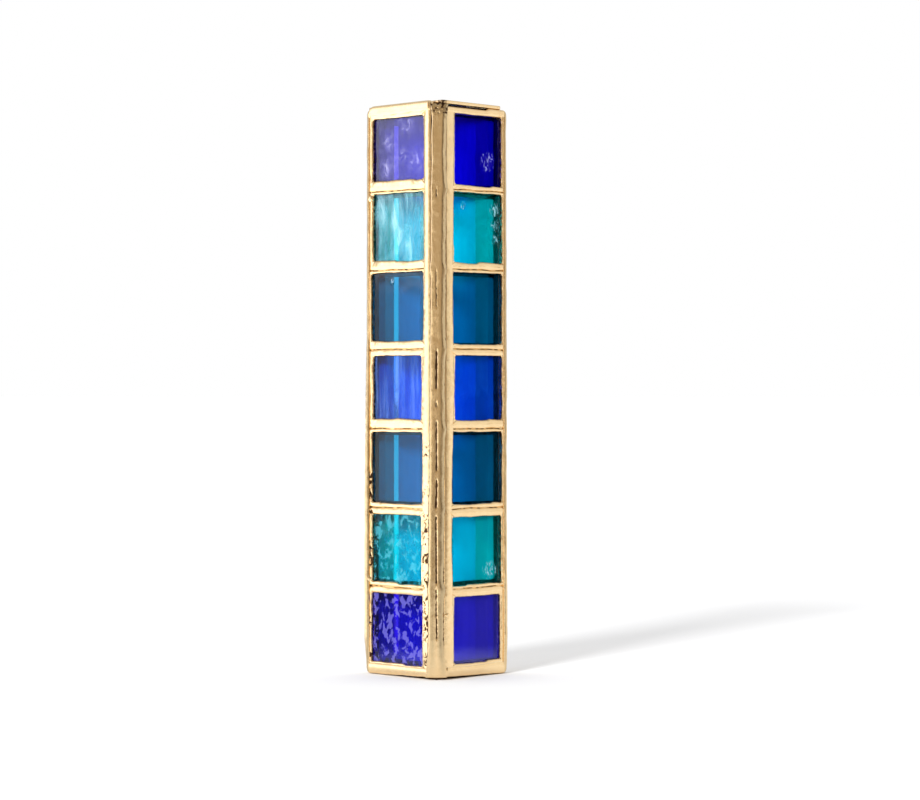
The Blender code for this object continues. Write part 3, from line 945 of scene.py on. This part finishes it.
def make_bead():
    """The blunt bead down the front corner, with a broken crease along its middle. Shade is painted
    along its edges, and a dark reflection along the crease.
    """
    top = RAIL_HIGH - 1.0 * MM
    levels = np.concatenate(
        [
            np.linspace(FOOT_RISE, 1.5 * MM, 8, endpoint=False),
            np.linspace(1.5 * MM, top, 380, endpoint=False),
            np.linspace(top, RAIL_HIGH + 0.05 * MM, 8),
        ]
    )
    joints = [WALLS["left"].joint(row) for row in range(ROWS - 1)]
    grid, dirt, dull = [], [], []
    for z in levels:
        near_joint = max(peak(z, joint, 1.3 * MM) for joint in joints)
        foot = max(0.0, 1 - z / (9.0 * MM)) ** 1.5
        head = max(0.0, 1 - (RAIL_HIGH - z) / (3.5 * MM))
        ends = min(z - FOOT_RISE + 0.1 * MM, CASE_HEIGHT - PLATE_THICK - z) / (0.9 * MM)
        tuck = 0.35 * (1 - min(1.0, ends)) ** 2 + 0.40 * foot
        fall = 1 - z / CASE_HEIGHT
        left = -1.05 - 0.85 * fall - 0.5 * foot + 0.14 * ripple(3.5, 1.1, z)
        left = (left - 0.14 * near_joint - 0.35 * head) * MM
        right = 2.15 - 0.80 * fall + 0.9 * foot + 0.18 * ripple(3.0, 2.2, z)
        right = (right + 0.32 * near_joint + 0.40 * head) * MM
        nose = BEAD_NOSE_Y + (0.08 * ripple(6.0, 3.3, z) + tuck) * MM
        line = (-0.05 + 0.16 * ripple(9.0, 4.4, z)) * MM
        crack = crease_strength(z)
        crack_half = CREASE_HALF * (0.65 + 0.5 * crack)
        ring, darkening, browning = [], [], []
        for a in np.linspace(-1.0, 1.0, 57):
            x = left + (right - left) * (a + 1) / 2
            bulge = 1 - abs(a) ** (11.0 if a < 0 else 3.0)
            edge = BEAD_EDGE_Y + 0.16 * a * MM
            wrinkle = ripple(0.60, 7.7, x, z)
            near_line = peak(x, line, crack_half)
            y = edge + (nose - edge) * bulge + 0.30 * MM * foot * abs(a)
            y += ripple(1.6, 6.6, x, z) * 0.030 * MM + wrinkle * (0.008 + 0.18 * head) * MM
            y += near_line * crack * CREASE_DEPTH
            ring.append((x, CORNER_Y + y, z))
            # painted shade along the bead's edges, stronger on the left
            edge_shade = max(0.0, abs(a) - 0.90) / 0.10 * (1 - min(1.0, 1.6 * foot))
            edge_shade *= 1.0 if a < 0 else 0.55
            folds = min(1.0, 1.5 * head) * (0.50 + 1.2 * max(0.0, wrinkle))
            # the crease is painted dark, a painted reflection of the dark front
            darkening.append(max(edge_shade, 1.7 * near_line * crack, folds))
            browning.append(painted_bead_shading(a, z, foot, head))
        for x, y in ((BEAD_BACK, -2.45 * MM), (0.0, -0.15 * MM), (-BEAD_BACK, -2.45 * MM)):
            ring.append((x, CORNER_Y + y, z))
            darkening.append(0.3)
            browning.append(0.0)
        grid.append(ring)
        dirt.append(darkening)
        dull.append(browning)
    mesh = loft("corner_bead", [np.array(grid)])
    store(mesh, "dirt", dirt)
    store(mesh, "dull", dull)
    add_piece("corner_bead", mesh, "corner_seam", [GOLD], smooth_angle=50.0)


# ---------------------------------------------------------------- rear channels

CHANNEL_SPREAD = {  # how far the bead bulges out, in millimetres, at heights in millimetres
    "left": ((0, 3, 8, 22, 45, 62, 75, 125), (0.0, 0.25, 0.7, 0.8, 0.7, 0.4, 0.1, 0.0)),
    "right": ((0, 3, 8, 30, 60, 90, 125), (0.1, 0.3, 0.4, 0.3, 0.25, 0.15, 0.0)),
}
# how much browner the turned outer side of each channel is, more on the left
CHANNEL_SIDE_BROWNING = {"left": 0.75, "right": 0.40}
CHANNEL_SKIN = 0.5 * MM
CHANNEL_ROUND = 1.2 * MM  # over how much of its height each end is rounded


def chaikin(points, times):
    """Cuts the corners of an open outline until it is smooth, keeping its two ends."""
    for _ in range(times):
        cut = [points[0]]
        for first, second in zip(points, points[1:]):
            cut += [first * 0.75 + second * 0.25, first * 0.25 + second * 0.75]
        points = cut + [points[-1]]
    return points


def flange_y(side):
    """The y of the face of the channel's front flange that looks into the case."""
    points = node_points(f"{side}_channel")
    from_middle = np.abs(points[:, 0])
    return float(points[from_middle < from_middle.min() + 0.2 * MM, 1].min())


def wall_plan(s, t):
    """A place in plan by the right wall's axes. The left wall is its mirror image."""
    return np.array(((s + t) * SIN_45, CORNER_Y + (s - t) * SIN_45))


def channel_profile(side):
    """The bead's part of the section of a channel on the right, and the rest of it."""
    low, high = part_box(f"{side}_channel")
    lip, half_width = sorted((abs(low.x), abs(high.x)))
    front = flange_y(side)
    end = WALLS[side].length
    groove = float(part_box("back_plate")[1].x) + 0.3 * MM
    bead = [
        wall_plan(end - 0.50 * MM, FOIL_T + 0.03 * MM),
        wall_plan(end - 0.46 * MM, FOIL_T + 0.45 * MM),
        wall_plan(end - 0.05 * MM, FOIL_T + 0.66 * MM),
        wall_plan(end + 0.55 * MM, FOIL_T + 0.25 * MM),
        np.array((half_width + 0.02 * MM, BACK_Y - 1.4 * MM)),
        np.array((half_width, BACK_Y - 0.5 * MM)),
        np.array((half_width - 0.25 * MM, BACK_Y - 0.05 * MM)),
        np.array((half_width - 0.9 * MM, BACK_Y)),
    ]
    inside = [
        (lip, BACK_Y),
        (lip, BACK_Y - CHANNEL_SKIN),
        (groove, BACK_Y - CHANNEL_SKIN),
        (groove, front + CHANNEL_SKIN),
        (lip, front + CHANNEL_SKIN),
        (lip, front),
        (wall_plan(end - 2.75 * MM, -0.12 * MM)[0], front),
        wall_plan(end - 0.15 * MM, -0.12 * MM),
        wall_plan(end + 0.06 * MM, 0.0),
        wall_plan(end + 0.06 * MM, FOIL_T + 0.02 * MM),
    ]
    return chaikin(bead, 2), inside


def make_channel(side):
    """The rear channel: a soft bead of solder outside, a folded metal lip inside."""
    hand = -1.0 if side == "left" else 1.0
    low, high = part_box(f"{side}_channel")
    half_width = max(abs(low.x), abs(high.x))
    bead, inside = channel_profile(side)
    profile = np.array([tuple(point) for point in bead + inside])
    centre = wall_plan(WALLS[side].length, 1.8 * MM)
    foot, top = 0.1 * MM, RAIL_HIGH + 0.02 * MM
    body = np.linspace(foot + CHANNEL_ROUND, top - CHANNEL_ROUND, 280)
    ends = CHANNEL_ROUND * np.sin(np.linspace(0, math.pi / 2, 9))[:-1]
    levels = np.concatenate([foot + ends, body, (top - ends)[::-1]])
    grid, dirt, dull = [], [], []
    for z in levels:
        short = max(0.0, 1 - min(z - foot, top - z) / CHANNEL_ROUND)
        draw = 0.65 * MM * (1 - math.sqrt(1 - short**2))
        bulge = np.interp(z / MM, *CHANNEL_SPREAD[side]) * MM
        ring, browning = [], []
        for k, (x, y) in enumerate(profile):
            if 0 < k < len(bead) - 1:
                away = np.array((x, y)) - centre
                away /= np.linalg.norm(away)
                swell = 0.10 * MM * ripple(3.8, 31.0 + hand, z, k * 0.3 * MM)
                swell += 0.03 * MM * ripple(0.9, 35.0 + hand, z, k * 0.3 * MM)
                spread = bulge * max(0.0, float(away[0]))
                x, y = np.array((x, y)) + away * (swell - draw + spread)
                y = min(y, BACK_Y)
            turned = x > half_width - 0.25 * MM and y < BACK_Y - 0.5 * MM
            ring.append((hand * x, y, z))
            browning.append(CHANNEL_SIDE_BROWNING[side] if turned else 0.0)
        grid.append(ring)
        dirt.append([0.8] * 2 + [0.0] * (len(profile) - 2))
        dull.append(browning)
    name = f"rear_channel_{side}"
    mesh = loft(name, [np.array(grid)])
    store(mesh, "dirt", dirt)
    store(mesh, "dull", dull)
    strips = [0] * len(bead) + [1] * 9 + [0] * (len(inside) - 9)
    strips = strips * (len(levels) - 1) + [0, 0]
    mesh.polygons.foreach_set("material_index", np.array(strips, np.int32))
    add_piece(name, mesh, f"{side}_channel", [GOLD, SATIN], smooth_angle=35.0)


# ---------------------------------------------------------------- plates

PLATE_ROUND = 0.28 * MM
LID_SET_BACK = 1.42 * MM  # behind the face of the foil, where the left head run hides it
LID_CLIP = 1.0 * MM  # off its right corner
BASE_SET_BACK = 0.8 * MM


def hull_of(points):
    """The convex hull of some points in plan, anticlockwise."""
    ordered = sorted({(round(float(x), 7), round(float(y), 7)) for x, y in points})

    def half(sequence):
        chain = []
        for p in sequence:
            while len(chain) > 1:
                (ax, ay), (bx, by) = chain[-2], chain[-1]
                if (bx - ax) * (p[1] - ay) - (by - ay) * (p[0] - ax) > 0:
                    break
                chain.pop()
            chain.append(p)
        return chain[:-1]

    return np.array(half(ordered) + half(ordered[::-1]))


def resampled(loop, spacing=0.5 * MM):
    """Points at an even spacing round a closed outline."""
    points = []
    for start, end in zip(loop, np.roll(loop, -1, axis=0)):
        count = max(1, int(np.linalg.norm(end - start) / spacing))
        points += [start + (end - start) * i / count for i in range(count)]
    return np.array(points)


def inset(loop, amount):
    """An anticlockwise convex outline moved inwards."""
    ahead = np.roll(loop, -1, axis=0) - np.roll(loop, 1, axis=0)
    ahead /= np.linalg.norm(ahead, axis=1)[:, None]
    return loop + np.stack([-ahead[:, 1], ahead[:, 0]], axis=1) * amount


def held_back(loop, wall, t):
    """An outline whose points lie no further out through a wall than t."""
    past = np.maximum(0.0, (loop - wall.corner) @ wall.out - t)
    return loop - past[:, None] * wall.out


def base_outline():
    """The base plate's plan, set back under the rolls of solder at the foot."""
    loop = resampled(hull_of(node_points("bottom_cap")[:, :2]))
    for wall in WALLS.values():
        loop = held_back(loop, wall, FOIL_T - BASE_SET_BACK)
    return inset(resampled(hull_of(loop)), 0.45 * MM)


def lid_outline():
    """The lid's plan, behind the left head run, with its right corner clipped."""
    loop = inset(resampled(hull_of(node_points("lid")[:, :2])), 0.22 * MM)
    loop = held_back(loop, WALLS["left"], FOIL_T - LID_SET_BACK)
    loop[:, 0] = np.minimum(loop[:, 0], loop[:, 0].max() - LID_CLIP)
    return loop


def plate_mesh(name, loop, low, high, seed):
    """A cut plate with softened, slightly uneven edges and gently dished faces. It comes with
    its grid of points, and a column that says which rows are in its rounded edge."""
    halves = []
    for face, up in ((low, 1.0), (high, -1.0)):
        half = [("face", share, face) for share in (0.02, 0.3, 0.6, 0.85)]
        for turn in np.linspace(0, math.pi / 2, 6):
            z = face + up * PLATE_ROUND * (1 - math.cos(turn))
            half.append(("edge", PLATE_ROUND * (1 - math.sin(turn)), z))
        halves.append(half)
    section = halves[0] + halves[1][::-1]
    middle = loop.mean(0)
    grid = []
    for kind, amount, z in section:
        if kind == "face":
            ring = middle + (inset(loop, PLATE_ROUND) - middle) * amount
            heights = [z + 0.02 * MM * ripple(5.0, seed, *point, z) for point in ring]
        else:
            ring = inset(loop, amount)
            heights = [z] * len(ring)
        wobble = 0.03 * MM * ripples(2.5, seed + 1, ring)[:, None]
        ring = ring * (1 + wobble / (10 * MM))
        grid.append(np.column_stack([ring, heights]))
    in_edge = np.array([kind == "edge" for kind, _, _ in section])[:, None]
    return loft(name, [np.array(grid)]), np.array(grid), in_edge


def make_base():
    """The bottom plate, with shade painted dark round the front of its edge, under the raised foot."""
    mesh, grid, in_edge = plate_mesh("base_plate", base_outline(), 0.0, PLATE_THICK, 40.0)
    # painted shade under the raised front of the foot
    front = np.clip((BACK_Y - 3.0 * MM - grid[..., 1]) / (2.0 * MM), 0.0, 1.0)
    store(mesh, "dirt", 1.4 * front * in_edge)
    add_piece("base_plate", mesh, "bottom_cap", [GOLD], smooth_angle=50.0)


def make_lid():
    """The top plate, dirty round its nose."""
    loop = lid_outline()
    low = CASE_HEIGHT - PLATE_THICK + 0.02 * MM
    mesh, grid, _ = plate_mesh("top_plate", loop, low, CASE_HEIGHT, 44.0)
    away = np.linalg.norm(grid - (0.6 * MM, loop[:, 1].min(), CASE_HEIGHT), axis=-1)
    store(mesh, "dirt", np.clip(1.1 - away / (3.0 * MM), 0.0, 0.8))
    add_piece("top_plate", mesh, "lid", [GOLD], "lid_and_back_plate", 50.0)


def make_eased(name, node, material, rounding):
    """A CAD solid of the lid's body copied with its edges eased."""
    mesh = frame["nodes"][node].data.copy()
    mesh.materials.clear()
    shape = bmesh.new()
    shape.from_mesh(mesh)
    bmesh.ops.remove_doubles(shape, verts=shape.verts, dist=1e-6)
    bmesh.ops.dissolve_limit(shape, angle_limit=0.01, verts=shape.verts, edges=shape.edges)
    sharp = [edge for edge in shape.edges if edge.calc_face_angle(0.0) > 0.4]
    bmesh.ops.bevel(shape, geom=sharp, offset=rounding, segments=2, profile=0.5, affect="EDGES")
    shape.to_mesh(mesh)
    shape.free()
    store(mesh, "dirt", np.zeros(len(mesh.vertices)))
    add_piece(name, mesh, node, [material], "lid_and_back_plate", 35.0)


# ---------------------------------------------------------------- scroll

SHEET_PITCH = 0.3 * MM
SHEET_THICK = 0.2 * MM
SCROLL_CORE = 0.75 * MM
TURN_STEPS = 56
FILM_THICK = 0.15 * MM


def add_inner(mesh, node, material):
    """A piece of the scroll's body. It casts no shadow, which would hide the sheet behind it."""
    piece = add_piece(mesh.name, mesh, node, [material], "scroll_in_sleeve")
    piece.visible_shadow = False


def make_parchment(centre):
    """The rolled sheet, wound a little unevenly."""
    low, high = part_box("scroll")
    turns = round((high.x - centre[0] - SCROLL_CORE - SHEET_THICK) / SHEET_PITCH)
    spiral = [
        (2 * math.pi * step / TURN_STEPS, SCROLL_CORE + SHEET_PITCH * step / TURN_STEPS)
        for step in range(turns * TURN_STEPS + 1)
    ]
    spiral += [(angle, radius + SHEET_THICK) for angle, radius in reversed(spiral)]
    levels = np.linspace(low.z, high.z, 40)
    grid = []
    for z in levels:
        ragged = 0.12 * MM if z in (levels[0], levels[-1]) else 0.0
        ring = []
        for angle, radius in spiral:
            radius += 0.03 * MM * ripple(8.0, 80.0, angle * MM, z)
            edge = ragged * ripple(1.5, 81.0, angle * MM)
            x, y = centre[0] + radius * math.cos(angle), centre[1] + radius * math.sin(angle)
            ring.append((x, y, z + edge))
        grid.append(ring)
    mesh = loft("rolled_parchment", [np.array(grid)])
    add_inner(mesh, "scroll", parchment_material())


def make_film(centre, low, high):
    """The clear sleeve, faintly dented."""
    outer = (high.x - low.x) / 2
    levels = np.linspace(low.z, high.z, 60)
    turn = np.linspace(0, 2 * math.pi, 72, endpoint=False)
    rings = []
    for radius, order in ((outer, levels), (outer - FILM_THICK, levels[::-1])):
        for z in order:
            dents = [ripple(6.0, 90.0, a * 3 * MM, z) - 1 for a in turn]
            r = radius + 0.03 * MM * np.array(dents)
            x, y = centre[0] + r * np.cos(turn), centre[1] + r * np.sin(turn)
            rings.append(np.column_stack([x, y, np.full(len(turn), z)]))
    mesh = loft("film_sleeve", [np.stack(rings)], ring=True)
    add_inner(mesh, "scroll_sleeve", film_material())


def make_scroll():
    low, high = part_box("scroll_sleeve")
    centre = ((low.x + high.x) / 2, (low.y + high.y) / 2)
    make_parchment(centre)
    make_film(centre, low, high)


# ---------------------------------------------------------------- studio

FLOOR_HALF = 20.0
WHITE = (1.0, 1.0, 1.0)


def make_floor():
    """A plain pale floor. Metal and glass see a painted reflection of it: dull brown in front, glowing
    to the left for metal, near black to the right and dark grey a little to the left for glass.
    """
    corners = [(x * FLOOR_HALF, y * FLOOR_HALF, 0) for x, y in ((-1, -1), (1, -1), (1, 1), (-1, 1))]
    mesh = bpy.data.meshes.new("floor")
    mesh.from_pydata(corners, [], [(0, 1, 2, 3)])
    floor = bpy.data.objects.new("floor", mesh)
    bpy.context.scene.collection.objects.link(floor)
    nodes = Nodes(bpy.data.materials.new("floor"))
    x, y, _ = nodes.split(nodes.place())
    path = nodes.add("ShaderNodeLightPath").outputs
    in_metal = path["Is Glossy Ray"]
    in_glass = nodes.times(path["Is Singular Ray"], in_metal)
    ahead = nodes.times(nodes.span(y, -0.20, -0.10, 1.0, 0.0), in_metal)
    off_right = nodes.span(x, 0.04, 0.08)
    off_left = nodes.span(x, -0.08, -0.04, 1.0, 0.0)
    near_left = nodes.span(x, -0.85, -0.65)
    colour = nodes.mix(ahead, (0.86, 0.86, 0.865), (0.34, 0.29, 0.23))
    colour = nodes.mix(nodes.times(off_right, in_glass), colour, (0.01, 0.01, 0.01))
    colour = nodes.mix(nodes.times(off_left, near_left, in_glass), colour, (0.12, 0.12, 0.12))
    shader = nodes.principled(
        Base_Color=colour,
        Roughness=0.9,
        Emission_Color=WHITE,
        # painted reflection: the floor glows only where metal sees it to the left
        Emission_Strength=nodes.times(off_left, nodes.minus(in_metal, in_glass), 1.2),
        Specular_IOR_Level=0.0,
    )
    mesh.materials.append(nodes.finished(shader))


def make_world():
    """A light tent: bright on the left, half as bright on the right, dim in front. The eye
    sees plain white."""
    nodes = Nodes(bpy.data.worlds.new("tent"), "ShaderNodeOutputWorld")
    x, y, z = nodes.split(nodes.add("ShaderNodeTexCoord").outputs["Generated"])
    path = nodes.add("ShaderNodeLightPath").outputs
    reflected = nodes.times(path["Is Reflection Ray"], path["Is Glossy Ray"])
    in_glass = nodes.times(path["Is Singular Ray"], reflected)

    # the front, with its darker and lighter upright bands, and the white behind
    behind = nodes.minus(1.05, nodes.times(reflected, 0.35))
    ahead = nodes.plus(0.50, nodes.span(x, -0.72, -0.42, 0.14, 0.0))
    ahead = nodes.minus(ahead, nodes.times(nodes.band(x, -0.46, -0.30, -0.22, -0.06), 0.14))
    ahead = nodes.plus(ahead, nodes.times(nodes.band(x, 0.0, 0.12, 0.2, 0.32), 0.12))
    level = nodes.plus(ahead, nodes.times(nodes.span(y, -0.55, 0.35), nodes.minus(behind, ahead)))
    notch = nodes.times(nodes.band(x, 0.35, 0.62, 0.80, 0.90), nodes.span(y, -0.2, 0.0, 1.0, 0.0))
    level = nodes.minus(level, nodes.times(notch, 0.34))

    # the two sides
    left = nodes.times(nodes.span(x, -0.93, -0.72, 1.0, 0.0), nodes.span(y, -0.02, 0.26, 1.0, 0.0))
    right = nodes.span(x, 0.72, 0.90)
    keep = nodes.minus(1.0, nodes.maths("MAXIMUM", left, right))
    middle = nodes.times(level, keep)
    sides = nodes.times(left, nodes.span(z, -0.1, 0.12, 1.75, 2.25))
    total = nodes.plus(middle, sides, nodes.times(right, 0.98))
    total = nodes.times(total, nodes.minus(1.07, nodes.times(reflected, 0.07)))
    veil = nodes.plus(nodes.times(left, nodes.span(z, 0.036, 0.056, 0.85, 2.7)), middle)
    total = nodes.blend(in_glass, total, veil)

    front = nodes.times(nodes.span(y, -0.8, -0.2, 1.0, 0.0), keep, reflected)
    tone = nodes.mix(front, WHITE, (1.0, 0.84, 0.64))
    tone = nodes.mix(nodes.times(left, reflected), tone, (1.0, 0.99, 1.14))
    feeds = {"Color": tone, "Strength": nodes.blend(path["Is Camera Ray"], total, 1.0)}
    background = nodes.add("ShaderNodeBackground", feeds)
    bpy.context.scene.world = nodes.finished(background.outputs[0])


def make_sun(name, energy, spread, azimuth, elevation):
    """A sun that shines from in front: azimuth turns it to the right, and all are in degrees."""
    data = bpy.data.lights.new(name, "SUN")
    data.energy = energy
    data.angle = math.radians(spread)
    lamp = bpy.data.objects.new(name, data)
    bpy.context.scene.collection.objects.link(lamp)
    level = math.cos(math.radians(elevation))
    shine = Vector(
        (
            math.sin(math.radians(azimuth)) * level,
            math.cos(math.radians(azimuth)) * level,
            -math.sin(math.radians(elevation)),
        )
    )
    lamp.rotation_euler = shine.to_track_quat("-Z", "Y").to_euler()
    lamp.visible_glossy = False
    lamp.visible_transmission = False
    return lamp


def group(name, chosen):
    """A collection of the scene's objects whose names start with one of these."""
    collection = bpy.data.collections.new(name)
    for piece in bpy.context.scene.objects:
        if piece.name.startswith(chosen):
            collection.objects.link(piece)
    return collection


def make_lamps():
    """The key throws the long pale shadow. The fill reaches only the metal behind the glass."""
    make_sun("key", 2.75, 14.0, 31.0, 27.0)
    fill = make_sun("fill", 3.2, 24.0, -40.0, 9.0)
    fill.light_linking.receiver_collection = group("behind_the_glass", ("back_sheet", "rear_channel_"))
    shading = ("pane_", "frame_", "solder_runs_", "corner_bead")
    fill.light_linking.blocker_collection = group("casts_fill_shadow", shading)


def make_camera():
    """A long lens level with the middle of the case, looking square at its front corner."""
    data = bpy.data.cameras.new("camera")
    data.lens = 100.0
    data.sensor_width = 36.0
    data.shift_x = 0.0255
    data.shift_y = -0.0109
    data.clip_start = 0.01
    camera = bpy.data.objects.new("camera", data)
    bpy.context.scene.collection.objects.link(camera)
    camera.location = (0.0, -0.558, CASE_HEIGHT / 2)
    camera.rotation_euler = (math.pi / 2, 0.0, 0.0)
    bpy.context.scene.camera = camera


for wall in WALLS.values():
    for row in range(ROWS):
        make_pane(wall, row)
        make_frame(wall, row)
    make_runs(wall)
make_bead()
make_channel("left")
make_channel("right")
make_base()
make_lid()
make_eased("back_sheet", "back_plate", plate_material(), 0.12 * MM)
make_eased("lid_fillet", "lid_solder_fillet", GOLD, 0.1 * MM)
make_scroll()
make_floor()
make_world()
make_lamps()
make_camera()
bpy.context.scene.view_settings.view_transform = "Standard"
